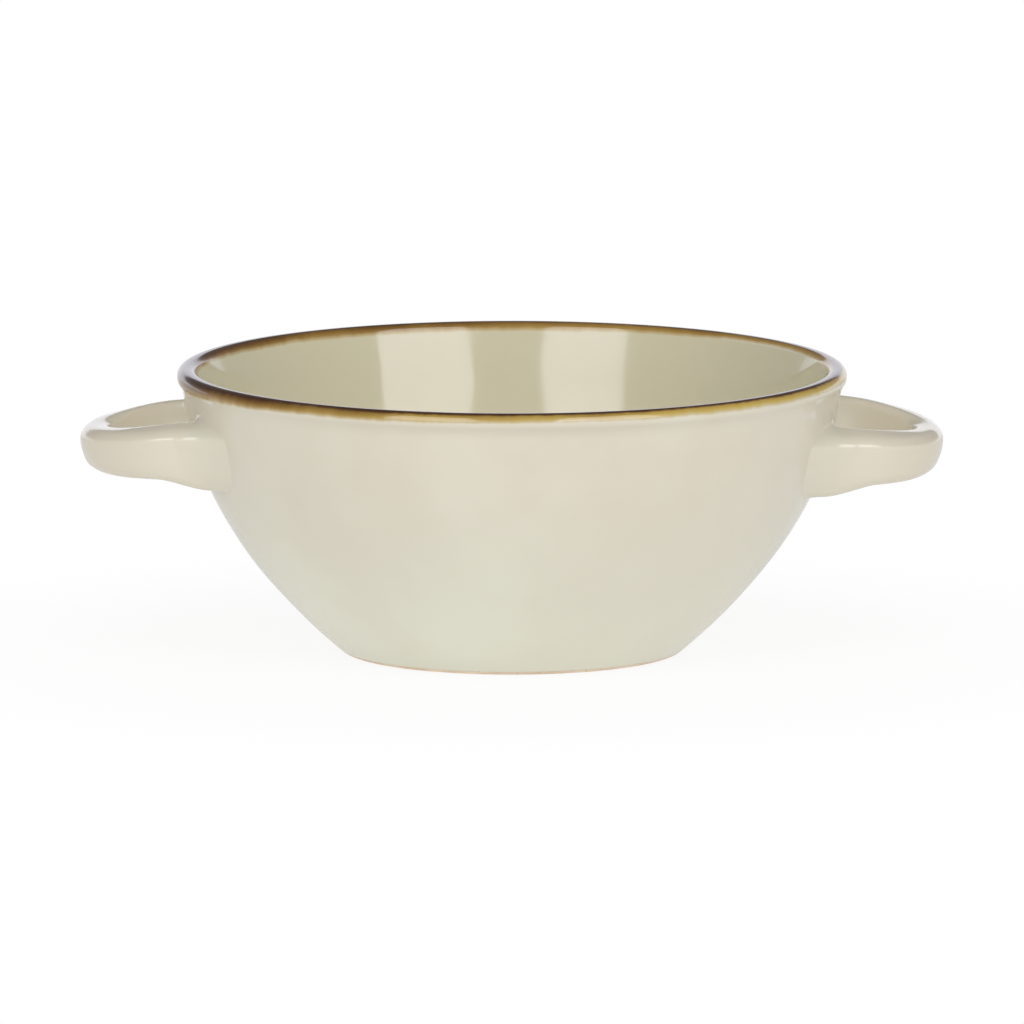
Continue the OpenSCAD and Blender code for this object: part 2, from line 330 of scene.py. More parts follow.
class Profile:
    """The glazed line from the foot up the outside, over the lip and down to the middle of the floor.

    Each pull is the share of the straight distance that a line's two handles take. The rows count the
    places on the wall, the neck, the bead, the band, the roll, the inside and the floor.
    """

    WALL_PULL = (0.294, 0.371)
    NECK_PULL = (0.65, 0.22)
    ROLL_PULL = (0.33, 0.33)
    INSIDE_PULL = (0.50, 0.14)
    ROWS = (92, 14, 26, 70, 26, 96, 20)

    def __init__(self, sizes: BowlSizes) -> None:
        """Works out the line's places, normals and distances from the lip's crest.

        Args:
            sizes: The bowl's sizes.
        """
        self.sizes = sizes
        radius = sizes.lip_t / 2
        self.lip_centre = np.array([sizes.rim_d / 2 - radius, sizes.bowl_h - radius])
        wall_foot = np.array([sizes.foot_d / 2, sizes.bare_h])
        wall_neck = np.array([sizes.rim_d / 2 - sizes.neck_in, sizes.bowl_h - sizes.neck_drop])
        rolled = np.array([sizes.rim_d / 2 - sizes.roll_in, sizes.bowl_h - sizes.roll_drop])
        floor_edge = np.array([sizes.floor_d / 2, sizes.floor_h])
        inner_angle = 180.0 - sizes.roll_lean
        roll_way = 180.0 + sizes.roll_lean
        inside_way = 180.0 + sizes.inside_lean
        bead = self.on_lip(np.array([sizes.bead_angle]))[0][0]
        inner = self.on_lip(np.array([inner_angle]))[0][0]
        rows = self.ROWS
        reach = np.linspace(1.0, 0.0, rows[6])[:, None]
        parts = [
            self.pulled(wall_foot, sizes.heel_lean, wall_neck, sizes.neck_lean, self.WALL_PULL, rows[0]),
            self.pulled(wall_neck, sizes.neck_lean, bead, -sizes.bead_angle, self.NECK_PULL, rows[1]),
            self.on_lip(np.linspace(sizes.bead_angle, sizes.band_edge, rows[2])),
            self.on_lip(np.linspace(sizes.band_edge, inner_angle, rows[3])),
            self.pulled(inner, roll_way, rolled, inside_way, self.ROLL_PULL, rows[4]),
            self.pulled(rolled, inside_way, floor_edge, -90.0, self.INSIDE_PULL, rows[5]),
            (reach * floor_edge + (1 - reach) * [0.0, sizes.floor_h], np.tile([0.0, 1.0], (rows[6], 1))),
        ]
        self.places, self.outward = (
            np.concatenate([parts[0][item]] + [part[item][1:] for part in parts[1:]]) for item in (0, 1)
        )
        ends = np.cumsum([len(part[0]) - 1 for part in parts])
        self.neck_last, self.band_first, self.band_last, self.last = (int(ends[n]) for n in (1, 2, 3, 6))
        steps = np.linalg.norm(np.diff(self.places, axis=0), axis=1)
        self.length = np.concatenate([[0.0], np.cumsum(steps)])
        self.from_crest = self.length[np.argmax(self.places[:, 1])] - self.length

    def on_lip(self, angle: np.ndarray) -> Arrays:
        """Follows the lip, |x|ⁿ + |z|ⁿ = rⁿ about its centre, by the way that its surface faces.

        Where the surface faces (cos, sin) of an angle, x and z go with those to the power 1/(n - 1). Above
        the lip's equator n is a little over 2, so the crest is flatter than a circle. Below it the lip is
        round.

        Args:
            angle: Angles in degrees from straight outwards, over the top.

        Returns:
            The places and their outward normals.
        """
        turn = np.radians(angle)[:, None]
        outward = np.hstack([np.cos(turn), np.sin(turn)])
        power = self.sizes.lip_square
        drawn = powered(outward, 1.0 / (power - 1.0))
        square = drawn / (np.abs(drawn) ** power).sum(axis=1, keepdims=True) ** (1.0 / power)
        return self.lip_centre + self.sizes.lip_t / 2 * np.where(turn < 0.0, outward, square), outward

    @staticmethod
    def pulled(
        start: np.ndarray, start_lean: float, end: np.ndarray, end_lean: float, pull: Pair, rows: int
    ) -> Arrays:
        """Follows a cubic line that leaves and arrives at given leans from straight up.

        Args:
            start: First place.
            start_lean: Lean of the line at its start, in degrees from straight up.
            end: Last place.
            end_lean: Lean of the line at its end.
            pull: Length of each end's handle, as a share of the distance between the ends.
            rows: Number of places.

        Returns:
            The places and the normals on the right of the line.
        """
        leans = np.radians([start_lean, end_lean])
        ways = np.stack([np.sin(leans), np.cos(leans)], axis=1)
        reach = np.linalg.norm(end - start)
        poles = np.array([start, start + pull[0] * reach * ways[0], end - pull[1] * reach * ways[1], end])
        places, travel = cubic(poles, np.linspace(0.0, 1.0, rows)[:, None])
        travel = unit(travel)
        return places, np.stack([travel[:, 1], -travel[:, 0]], axis=1)

    def wall_radius(self, height: np.ndarray) -> np.ndarray:
        """Gives the radius of the glazed outside at heights in millimetres, read from the line's places."""
        rows = self.places[: self.neck_last + 1]
        return np.interp(height, rows[:, 1], rows[:, 0])

    def on_wall(self, across: np.ndarray, height: np.ndarray) -> Arrays:
        """Gives the outside's place and normal at a distance across and a height: out = √(radius² - across²).

        Args:
            across: Distances across the lug, from the bowl's axis.
            height: Heights in millimetres.

        Returns:
            The places on the wall, on the side of the first axis, and their unit normals.
        """
        rows = slice(0, self.neck_last + 1)
        radius = self.wall_radius(height)
        out = np.sqrt(np.maximum(radius**2 - across**2, 1.0))
        level, rise = (np.interp(height, self.places[rows, 1], self.outward[rows, axis]) for axis in (0, 1))
        normals = np.stack([out / radius * level, across / radius * level, rise], axis=-1)
        return np.stack([out, across, height], axis=-1), unit(normals)


@dataclass(frozen=True)
class HandWork:
    """How uneven the hand left the bowl, in millimetres, and over what distances that fades out."""

    outside: float = 0.05
    inside: float = 0.075
    outside_seed: int = 5
    inside_seed: int = 11
    lip_still: float = 4.5
    lip_fade: float = 9.0
    foot_fade: float = 8.0
    middle_fade: float = 22.0


@dataclass(frozen=True)
class GlazeFlow:
    """How the glazes flowed and fired, in millimetres, degrees from the right lug, and shares.

    The rim's glaze turned gold on one side and at the back's middle. It ran down on the left, and on the
    inside it stayed nearer to the crest at the drawn side. The ivory pooled at the neck, the foot and the
    floor.
    """

    gold_side: float = -15.0
    gold_swing: float = 1.6
    gold_base: float = 0.25
    back_side: float = 90.0
    back_gold: float = 1.3
    back_power: int = 16
    patch_size: float = 0.5
    patch_seed: int = 23
    wave_size: float = 0.25
    waves: int = 17
    wave_shift: float = 1.0
    ran_least: float = 0.02
    ran_side: float = 187.0
    ran_most: float = 0.34
    ran_power: int = 8
    ran_wander: float = 0.025
    ran_seed: int = 71
    drawn_side: float = 28.0
    drawn_most: float = 0.45
    drawn_power: int = 16
    short_waves: int = 10
    pool_spread: float = 3.0
    neck_from_crest: float = 8.5
    neck_pool: float = 0.06
    foot_from_edge: float = 2.0
    foot_pool: float = 0.6
    floor_top: float = 14.0
    floor_depth: float = 7.0
    floor_pool: float = 0.8


class BowlSkin:
    """The whole glazed surface of the bowl, turned from the profile and left slightly uneven by hand."""

    def __init__(self, profile: Profile, columns: int = 384) -> None:
        """Turns the profile: each place goes round the axis, moved along its normal by the ripples.

        Args:
            profile: The glazed line.
            columns: Number of places round the bowl.
        """
        self.profile = profile
        self.hand = HandWork()
        self.flow = GlazeFlow()
        self.turn = np.linspace(0.0, FULL_TURN, columns, endpoint=False)
        places = profile.places[:, None] + profile.outward[:, None] * self.unevenness()[..., None]
        self.points = spun(places[..., 0], places[..., 1], self.turn)
        self.outward = spun(profile.outward[:, :1], profile.outward[:, 1:], self.turn)
        normals = grid_normals(self.points)
        looks = np.einsum("ijk,ijk->i", normals, self.outward)
        self.normals = np.where((looks < 0)[:, None, None], -normals, normals)
        self.normals[-1] = (0.0, 0.0, 1.0)
        self.normals[0] = self.outward[0]
        tone = np.broadcast_to(self.tone()[None], places.shape[:2])
        self.values = {"rim_place": self.rim_place(), "tone": tone, "pool": self.pooled()}

    def unevenness(self) -> np.ndarray:
        """Gives how far the hand left each place off the profile, less at the lip, foot and middle.

        Returns:
            The distance along the normal for each row and column.
        """
        profile, hand = self.profile, self.hand
        shape = (len(profile.places), len(self.turn))
        along = np.broadcast_to(profile.length[:, None], shape)
        turn = np.broadcast_to(self.turn[None], shape)
        lip = eased((np.abs(profile.from_crest) - hand.lip_still) / hand.lip_fade)
        foot = eased(profile.length / hand.foot_fade)
        middle = eased(profile.places[:, 0] / hand.middle_fade)
        is_inside = profile.from_crest < 0
        size = np.where(is_inside, hand.inside * lip * middle, hand.outside * lip * foot)
        inner, outer = (ripples(turn, along, seed) for seed in (hand.inside_seed, hand.outside_seed))
        return size[:, None] * np.where(is_inside[:, None], inner, outer)

    def tone(self) -> np.ndarray:
        """Gives how golden the rim glaze fired at each turn, from 0 for burnt to 1 for gold.

        Returns:
            One share for each column: a broad wave with a bump at the back's middle and short waves on it.
        """
        flow = self.flow
        broad = flow.gold_swing * np.cos(self.turn - math.radians(flow.gold_side)) + flow.gold_base
        broad = broad + flow.back_gold * bump(self.turn, flow.back_side, flow.back_power)
        short = flow.patch_size * ripples(self.turn, self.turn * 0.0, flow.patch_seed, flow.short_waves)
        short = short + flow.wave_size * np.cos(flow.waves * self.turn + flow.wave_shift)
        return 0.5 + 0.5 * np.tanh(broad + short)

    def rim_place(self) -> np.ndarray:
        """Gives each place's distance from the crest, less where the brown ran and more where it stayed up.

        Returns:
            The distance in millimetres for each row and column, above zero outside.
        """
        flow = self.flow
        ran = flow.ran_least + flow.ran_most * bump(self.turn, flow.ran_side, flow.ran_power)
        ran = ran + flow.ran_wander * ripples(self.turn, self.turn * 0.0, flow.ran_seed, flow.short_waves)
        drawn = 1.0 + flow.drawn_most * bump(self.turn, flow.drawn_side, flow.drawn_power)
        place = self.profile.from_crest[:, None]
        return np.where(place > 0, place * (1.0 - ran), place * drawn)

    def pooled(self) -> np.ndarray:
        """Gives how thick the glaze pooled, from 0 to 1: under the lip, at the foot and on the floor.

        Returns:
            The share for each row and column.
        """
        profile, flow = self.profile, self.flow
        neck = np.exp(-(((profile.from_crest - flow.neck_from_crest) / flow.pool_spread) ** 2))
        foot = np.exp(-(((profile.length - flow.foot_from_edge) / flow.pool_spread) ** 2))
        depth = eased((flow.floor_top - profile.places[:, 1]) / flow.floor_depth)
        floor = np.where(profile.from_crest < 0, depth, 0.0)
        line = np.clip(neck * flow.neck_pool + foot * flow.foot_pool + floor * flow.floor_pool, 0.0, 1.0)
        return np.broadcast_to(line[:, None], (len(line), len(self.turn)))

    def shell(self, first: int, last: int, depth: float) -> list[Sheet]:
        """Makes a coat between two rows: the skin, its back a glaze's thickness behind, and its two edges.

        Args:
            first: First row.
            last: Last row.
            depth: Thickness of the coat.

        Returns:
            The sheets of a closed shell.
        """
        rows = slice(first, last + 1)
        skin = self.points[rows]
        back = skin - depth * self.outward[rows]
        values = {name: value[rows] for name, value in self.values.items()}
        sheets = [Sheet(skin, self.normals[rows], values), Sheet(back, -self.outward[rows])]
        for edge, step in ((0, 1), (-1, -2)):
            if np.linalg.norm(skin[edge, 0, :2]) > depth:
                points = np.stack([skin[edge], back[edge]])
                away = np.broadcast_to(unit(skin[edge] - skin[step]), points.shape)
                ends = {name: np.stack([value[edge]] * 2) for name, value in values.items()}
                sheets.append(Sheet(points, away, ends))
        return sheets


class Bench:
    """A material or a world under work: adds nodes and links them."""

    MIX_COLOURS = (6, 7)
    MIX_RESULT = 2

    def __init__(self, owner: bpy.types.Material | bpy.types.World) -> None:
        """Empties the owner's nodes and adds its coordinates.

        Args:
            owner: The material or world.
        """
        owner.use_nodes = True
        self.owner = owner
        self.tree = owner.node_tree
        self.tree.nodes.clear()
        self.coordinates = self.node("ShaderNodeTexCoord").outputs
        self.place = self.coordinates["Object"]

    def node(self, kind: str, settings: dict[str, object] | None = None, **inputs: object) -> bpy.types.Node:
        """Adds a node.

        Args:
            kind: The node's type.
            settings: Properties to set on it.
            **inputs: Sockets or values for its inputs, by name with _ for a space.

        Returns:
            The new node.
        """
        made = self.tree.nodes.new(kind)
        for name, value in (settings or {}).items():
            setattr(made, name, value)
        for name, value in inputs.items():
            self.feed(made.inputs[name.replace("_", " ")], value)
        return made

    def feed(self, target: Socket, value: object) -> None:
        """Links a socket to an input, or sets the input to a value."""
        if isinstance(value, Socket):
            self.tree.links.new(value, target)
        else:
            target.default_value = value

    def result(self, kind: str, settings: dict[str, object], *values: object) -> Socket:
        """Adds a node, feeds its inputs in their order and gives its first output.

        Args:
            kind: The node's type.
            settings: Properties to set on it.
            *values: Sockets or values.

        Returns:
            The first output's socket.
        """
        made = self.node(kind, settings)
        for target, value in zip(made.inputs, values):
            self.feed(target, value)
        return made.outputs[0]

    def sum(self, operation: str, *terms: object) -> Socket:
        """Works out a sum of sockets or numbers by the operation's name."""
        return self.result("ShaderNodeMath", {"operation": operation}, *terms)

    def span(self, value: Socket, low: float, high: float, start: float = 0.0, end: float = 1.0) -> Socket:
        """Maps a value from low to high onto start to end with a smooth step, and holds it there."""
        smooth = {"interpolation_type": "SMOOTHSTEP"}
        return self.result("ShaderNodeMapRange", smooth, value, low, high, start, end)

    def lay(self, share: Socket, under: Socket, over: Socket) -> Socket:
        """Lays a second shader over a first one by a share."""
        return self.result("ShaderNodeMixShader", {}, share, under, over)

    def blend(self, share: object, under: object, over: object) -> Socket:
        """Mixes two colours.

        Args:
            share: Share of the second colour.
            under: First colour, as a socket or three numbers.
            over: Second colour.

        Returns:
            The mixed colour's socket.
        """
        made = self.node("ShaderNodeMix", {"data_type": "RGBA"})
        self.feed(made.inputs[0], share)
        for target, value in zip(self.MIX_COLOURS, (under, over)):
            self.feed(made.inputs[target], value if isinstance(value, Socket) else (*value, 1.0))
        return made.outputs[self.MIX_RESULT]

    def noise(
        self, scale: float, detail: float = 2.0, squash: Triple = (1.0, 1.0, 1.0), shift: float = 0.0
    ) -> Socket:
        """Gives noise from 0 to 1 on the piece's own coordinates.

        Args:
            scale: Waves in a metre.
            detail: Finer layers of noise.
            squash: Scale of each axis before the noise.
            shift: Distance by which the noise is moved, so that two noises differ.

        Returns:
            The noise's socket.
        """
        mapped = self.node("ShaderNodeMapping", Vector=self.place, Scale=squash, Location=(shift,) * 3)
        made = self.node("ShaderNodeTexNoise", Vector=mapped.outputs[0], Scale=scale, Detail=detail)
        return made.outputs["Fac"]

    def cells(self, scale: float) -> tuple[Socket, bpy.types.bpy_prop_collection]:
        """Scatters cells over the piece.

        Args:
            scale: Cells in a metre.

        Returns:
            The distance from the nearest cell's middle, and that cell's three random numbers.
        """
        made = self.node("ShaderNodeTexVoronoi", Vector=self.place, Scale=scale)
        chosen = self.node("ShaderNodeSeparateColor", Color=made.outputs["Color"])
        return made.outputs["Distance"], chosen.outputs

    def value(self, name: str) -> Socket:
        """Reads one of the piece's own named values."""
        return self.node("ShaderNodeAttribute", {"attribute_name": name}).outputs["Fac"]

    def ramp(self, value: Socket, stops: tuple[Stop, ...]) -> bpy.types.Node:
        """Adds a colour ramp.

        Args:
            value: Place on the ramp, from 0 to 1.
            stops: Each stop's place, red, green, blue and cover.

        Returns:
            The ramp's node, whose outputs are the colour and the cover.
        """
        made = self.node("ShaderNodeValToRGB", Fac=value)
        elements = made.color_ramp.elements
        for stop in stops[2:]:
            elements.new(stop[0])
        for element, stop in zip(elements, stops):
            element.position = stop[0]
            element.color = stop[1:]
        return made

    def bumps(self, layers: tuple[tuple[Socket, float], ...]) -> Socket:
        """Stacks bumps on each other.

        Args:
            layers: Each layer's height from 0 to 1, and its depth in metres.

        Returns:
            The normal's socket.
        """
        normal: Socket | None = None
        for height, depth in layers:
            made = self.node("ShaderNodeBump", Height=height, Distance=depth, Strength=1.0)
            if normal is not None:
                self.feed(made.inputs["Normal"], normal)
            normal = made.outputs[0]
        return normal

    def close(self, shader: Socket, kind: str = "ShaderNodeOutputMaterial") -> bpy.types.ID:
        """Leads a shader to the output and gives the finished material or world."""
        self.feed(self.node(kind).inputs["Surface"], shader)
        return self.owner

    def finish(self, colour: Socket, roughness: Socket, normal: Socket, **fixed: float) -> bpy.types.Material:
        """Ends the material in a Principled shader, with fixed values set straight on its sockets."""
        shader = self.node(
            "ShaderNodeBsdfPrincipled", Base_Color=colour, Roughness=roughness, Normal=normal, **fixed
        )
        return self.close(shader.outputs[0])


@dataclass(frozen=True)
class IvoryGlaze:
    """A glossy ivory glaze: clouded, greener where it pooled, warmer where thin, with rare specks.

    Scales count waves or cells in a metre, heights and depths are in metres, and the rest are shares. A
    pair is where a smooth step starts and ends, or a random swing and what it is added to.
    """

    name: str
    warm: Colour
    cool: Colour
    pooled: Colour
    thin: Colour = (0.62, 0.50, 0.35)
    speck: Colour = (0.36, 0.29, 0.19)
    ior: float = 1.55
    # The colour turns from cool low down to warm from these heights up. On the outside the cool colour is
    # also lighter: painted light standing in for light thrown up from below, besides the glaze's own greener
    # tone.
    warm_and_shade_heights: Pair = (0.012, 0.056)
    warm_and_shade_share: float = 0.6
    cloud_scale: float = 24.0
    cloud_share: float = 0.4
    fine_scale: float = 210.0
    fine_share: float = 0.12
    speck_scale: float = 150.0
    speck_share: float = 0.016
    speck_size: Pair = (0.05, 0.03)
    speck_cover: Pair = (0.4, 0.25)
    pinhole_scale: float = 260.0
    pinhole_share: float = 0.03
    pinhole_edge: Pair = (0.02, 0.06)
    pinhole_depth: float = 0.00003
    swell_scale: float = 70.0
    swell_depth: float = 0.00004
    peel_scale: float = 520.0
    peel_depth: float = 0.000004
    rough_scale: float = 90.0
    rough_edges: Pair = (0.3, 0.75)
    rough: Pair = (0.07, 0.13)

    def colour(self, bench: Bench) -> Socket:
        """Mixes the glaze's colour.

        Args:
            bench: The material under work.

        Returns:
            The colour's socket.
        """
        height = bench.node("ShaderNodeSeparateXYZ", Vector=bench.place).outputs["Z"]
        # Painted light: lower down the colour goes to the cool one, which on the outside is lighter as if lit
        # from below; the greener hue there is the glaze's own.
        warmth_and_shade = bench.sum("MULTIPLY", bench.span(height, *self.warm_and_shade_heights), self.warm_and_shade_share)
        clouds = bench.span(bench.noise(self.cloud_scale, 3.0), *CLOUD_EDGES)
        cloud = bench.sum("MULTIPLY", clouds, self.cloud_share)
        mixed = bench.blend(bench.sum("ADD", warmth_and_shade, cloud), self.cool, self.warm)
        fine = bench.span(bench.noise(self.fine_scale, 3.0, shift=0.3), *GRAIN_EDGES, 0.0, self.fine_share)
        mixed = bench.blend(fine, mixed, self.pooled)
        mixed = bench.blend(bench.value("pool"), mixed, self.pooled)
        mixed = bench.blend(bench.value("thin"), mixed, self.thin)
        distance, chosen = bench.cells(self.speck_scale)
        rare = bench.sum("LESS_THAN", chosen[0], self.speck_share)
        near = bench.sum("LESS_THAN", distance, bench.sum("MULTIPLY_ADD", chosen[1], *self.speck_size))
        faint = bench.sum("MULTIPLY_ADD", chosen[2], *self.speck_cover)
        spot = bench.sum("MULTIPLY", bench.sum("MULTIPLY", rare, near), faint)
        return bench.blend(spot, mixed, self.speck)

    def relief(self, bench: Bench) -> Socket:
        """Gives the glaze's surface: a soft swell, a fine orange peel and rare pinholes.

        Args:
            bench: The material under work.

        Returns:
            The normal's socket.
        """
        distance, chosen = bench.cells(self.pinhole_scale)
        rare = bench.sum("LESS_THAN", chosen[0], self.pinhole_share)
        hollow = bench.span(distance, *self.pinhole_edge, -1.0, 0.0)
        return bench.bumps((
            (bench.noise(self.swell_scale, 1.0, shift=0.7), self.swell_depth),
            (bench.noise(self.peel_scale, 2.0), self.peel_depth),
            (bench.sum("MULTIPLY", rare, hollow), self.pinhole_depth),
        ))

    def gloss(self, bench: Bench) -> Socket:
        """Gives the glaze's roughness, which wanders a little."""
        return bench.span(bench.noise(self.rough_scale, 3.0, shift=0.5), *self.rough_edges, *self.rough)

    def build(self) -> bpy.types.Material:
        """Makes the material of a piece that has no brown rim."""
        bench = Bench(bpy.data.materials.new(self.name))
        return bench.finish(self.colour(bench), self.gloss(bench), self.relief(bench), IOR=self.ior)


@dataclass(frozen=True)
class RimGlaze:
    """A brown glaze that melts into the ivory beside the lip: dark on the crest and gold on the flanks.

    Its stops hold the distance outside the crest in millimetres, red, green, blue and cover. The streaks
    and the drift that carry its edge to and fro have a scale, a swing in millimetres, and
    a squash that stretches them down the wall.
    """

    reach: float = 4.4
    streak_scale: float = 480.0
    streak_swing: float = 0.5
    streak_squash: Triple = (1.0, 1.0, 0.12)
    drift_scale: float = 75.0
    drift_swing: float = 0.9
    drift_squash: Triple = (1.0, 1.0, 0.2)
    burnt: tuple[Stop, ...] = (
        (-3.50, 0.60, 0.50, 0.30, 0.0),
        (-3.05, 0.48, 0.34, 0.13, 0.6),
        (-2.45, 0.27, 0.145, 0.030, 0.97),
        (-1.80, 0.12, 0.052, 0.010, 1.0),
        (-1.00, 0.058, 0.019, 0.004, 1.0),
        (1.05, 0.054, 0.017, 0.004, 1.0),
        (1.50, 0.105, 0.042, 0.008, 1.0),
        (2.05, 0.22, 0.11, 0.022, 1.0),
        (2.45, 0.34, 0.20, 0.048, 1.0),
        (2.80, 0.46, 0.34, 0.13, 0.8),
        (3.15, 0.58, 0.48, 0.28, 0.0),
    )
    golden: tuple[Stop, ...] = (
        (-3.50, 0.62, 0.52, 0.31, 0.0),
        (-3.05, 0.52, 0.37, 0.15, 0.65),
        (-2.40, 0.40, 0.25, 0.062, 0.98),
        (-1.35, 0.27, 0.150, 0.034, 1.0),
        (-0.60, 0.070, 0.026, 0.008, 1.0),
        (0.88, 0.058, 0.020, 0.006, 1.0),
        (1.18, 0.20, 0.105, 0.025, 1.0),
        (1.48, 0.46, 0.31, 0.075, 1.0),
        (2.10, 0.54, 0.39, 0.100, 1.0),
        (2.42, 0.57, 0.44, 0.18, 0.75),
        (2.85, 0.60, 0.50, 0.30, 0.0),
    )

    def over(self, bench: Bench, ivory: Socket) -> Socket:
        """Lays the brown glaze over the ivory by its distance from the crest.

        Args:
            bench: The material under work.
            ivory: Colour of the ivory glaze.

        Returns:
            The colour's socket.
        """
        fine = bench.noise(self.streak_scale, 2.0, self.streak_squash, shift=0.2)
        slow = bench.noise(self.drift_scale, 2.0, self.drift_squash, shift=0.9)
        streaks = bench.sum("MULTIPLY_ADD", fine, self.streak_swing, -self.streak_swing / 2)
        drift = bench.sum("MULTIPLY_ADD", slow, self.drift_swing, -self.drift_swing / 2)
        place = bench.sum("ADD", bench.value("rim_place"), bench.sum("ADD", streaks, drift))
        share = bench.sum("MULTIPLY_ADD", place, 0.5 / self.reach, 0.5)
        burnt, golden = (
            bench.ramp(share, tuple((stop[0] * 0.5 / self.reach + 0.5, *stop[1:]) for stop in stops)).outputs
            for stops in (self.burnt, self.golden)
        )
        brown = bench.blend(bench.value("tone"), burnt[0], golden[0])
        return bench.blend(bench.sum("MAXIMUM", burnt[1], golden[1]), ivory, brown)


@dataclass(frozen=True)
class SkinFinish:
    """The finish of a skin that meets the rim: ivory with the brown glaze melting over it."""

    name: str
    ivory: IvoryGlaze
    rim: RimGlaze

    def build(self) -> bpy.types.Material:
        """Makes the material of a piece that the brown glaze runs over.

        Returns:
            The finished material.
        """
        bench = Bench(bpy.data.materials.new(self.name))
        colour = self.rim.over(bench, self.ivory.colour(bench))
        return bench.finish(colour, self.ivory.gloss(bench), self.ivory.relief(bench), IOR=self.ivory.ior)


@dataclass(frozen=True)
class BareClay:
    """Bare fired stoneware: tan, dry and sandy, with turning lines round the foot."""

    name: str = "bare_clay"
    pale: Colour = (0.82, 0.68, 0.53)
    tan: Colour = (0.72, 0.56, 0.41)
    grog: Colour = (0.42, 0.29, 0.19)
    cloud_scale: float = 120.0
    grog_scale: float = 1100.0
    grog_share: float = 0.12
    grog_cover: float = 0.6
    grog_size: float = 0.35
    turning: float = 9000.0
    turning_depth: float = 0.00003
    sand_scale: float = 1500.0
    sand_depth: float = 0.00012
    rough_scale: float = 300.0
    rough: Pair = (0.75, 0.95)
    ior: float = 1.5
    shine: float = 0.3

    def build(self) -> bpy.types.Material:
        """Makes the material: clouds of two tans, dark grog, and a rough sandy surface with turning lines.

        Returns:
            The finished material.
        """
        bench = Bench(bpy.data.materials.new(self.name))
        clouds = bench.span(bench.noise(self.cloud_scale, 4.0), *CLOUD_EDGES)
        colour = bench.blend(clouds, self.pale, self.tan)
        distance, chosen = bench.cells(self.grog_scale)
        grains = bench.sum("MULTIPLY", bench.sum("LESS_THAN", chosen[0], self.grog_share), self.grog_cover)
        near = bench.sum("LESS_THAN", distance, self.grog_size)
        colour = bench.blend(bench.sum("MULTIPLY", grains, near), colour, self.grog)
        apart = bench.node("ShaderNodeSeparateXYZ", Vector=bench.place).outputs
        squares = (bench.sum("POWER", apart[axis], 2.0) for axis in (0, 1))
        radius = bench.sum("SQRT", bench.sum("ADD", *squares))
        lines = bench.sum("SINE", bench.sum("MULTIPLY", radius, self.turning))
        normal = bench.bumps((
            (bench.sum("MULTIPLY_ADD", lines, 0.5, 0.5), self.turning_depth),
            (bench.noise(self.sand_scale, 4.0), self.sand_depth),
        ))
        roughness = bench.span(bench.noise(self.rough_scale, 3.0), *GRAIN_EDGES, *self.rough)
        return bench.finish(colour, roughness, normal, IOR=self.ior, Specular_IOR_Level=self.shine)


@dataclass(frozen=True)
class LugSizes:
    """Sizes of a pressed-on lug in millimetres and degrees, close to those of the solid model.

    The section's powers and the fall of its top go from the first value at the tip to the second on the
    arms. That change starts at a share of the way to the root and takes a span of it.
    """

    reach: float = 20.2
    width: float = 47.0
    strap_t: float = 7.0
    tip_drop: float = 11.8
    tip_h: float = 9.5
    root_drop: float = 9.1
    root_h: float = 14.5
    outer_draft: float = 9.0
    inner_draft: float = 3.0
    flare_start: float = 0.66
    square: float = 2.6
    outer_square: Pair = (2.4, 3.8)
    inner_square: Pair = (2.6, 5.5)
    top_slope: Pair = (0.9, 1.9)
    arm_start: float = 0.1
    arm_span: float = 0.45
    fall_power: float = 1.5
    sunk: float = 0.2
    uneven: float = 0.12
    uneven_still: float = 6.0
    uneven_fade: float = 10.0
    uneven_least: float = 22.0
    uneven_waves: int = 12
    thin_most: float = 0.10
    thin_below: float = 0.4
    thin_from: float = 0.2
    thin_span: float = 0.6
    root_pool: float = 0.25
    arm_rows: int = 22
    bend_rows: int = 132


@dataclass(frozen=True)
class FilletSizes:
    """How far the slip was smoothed along the arm and over the wall, in millimetres.

    The outer side is drawn out into a flat pad that ends in a soft crease on the wall. The glaze pooled
    most in the hollow near the shoulder, an angle round the arm in radians.
    """

    arm_inner: float = 2.4
    arm_outer: float = 5.8
    arm_power: float = 1.5
    wall_inner: float = 2.3
    wall_outer: float = 5.8
    wall_bottom: float = 0.7
    round_corner: float = 0.75
    climb_inner: float = 2.2
    climb_outer: float = 0.9
    highest: float = 53.0
    pull: float = 0.62
    straight: float = 0.6
    behind: float = 0.25
    arm_sunk: float = 0.02
    wall_sunk: float = 0.03
    shoulder: float = 0.8
    shoulder_spread: float = 0.4
    pool_least: float = 0.25
    pool_most: float = 0.35
    pool_even: float = 0.35
    rows: int = 23


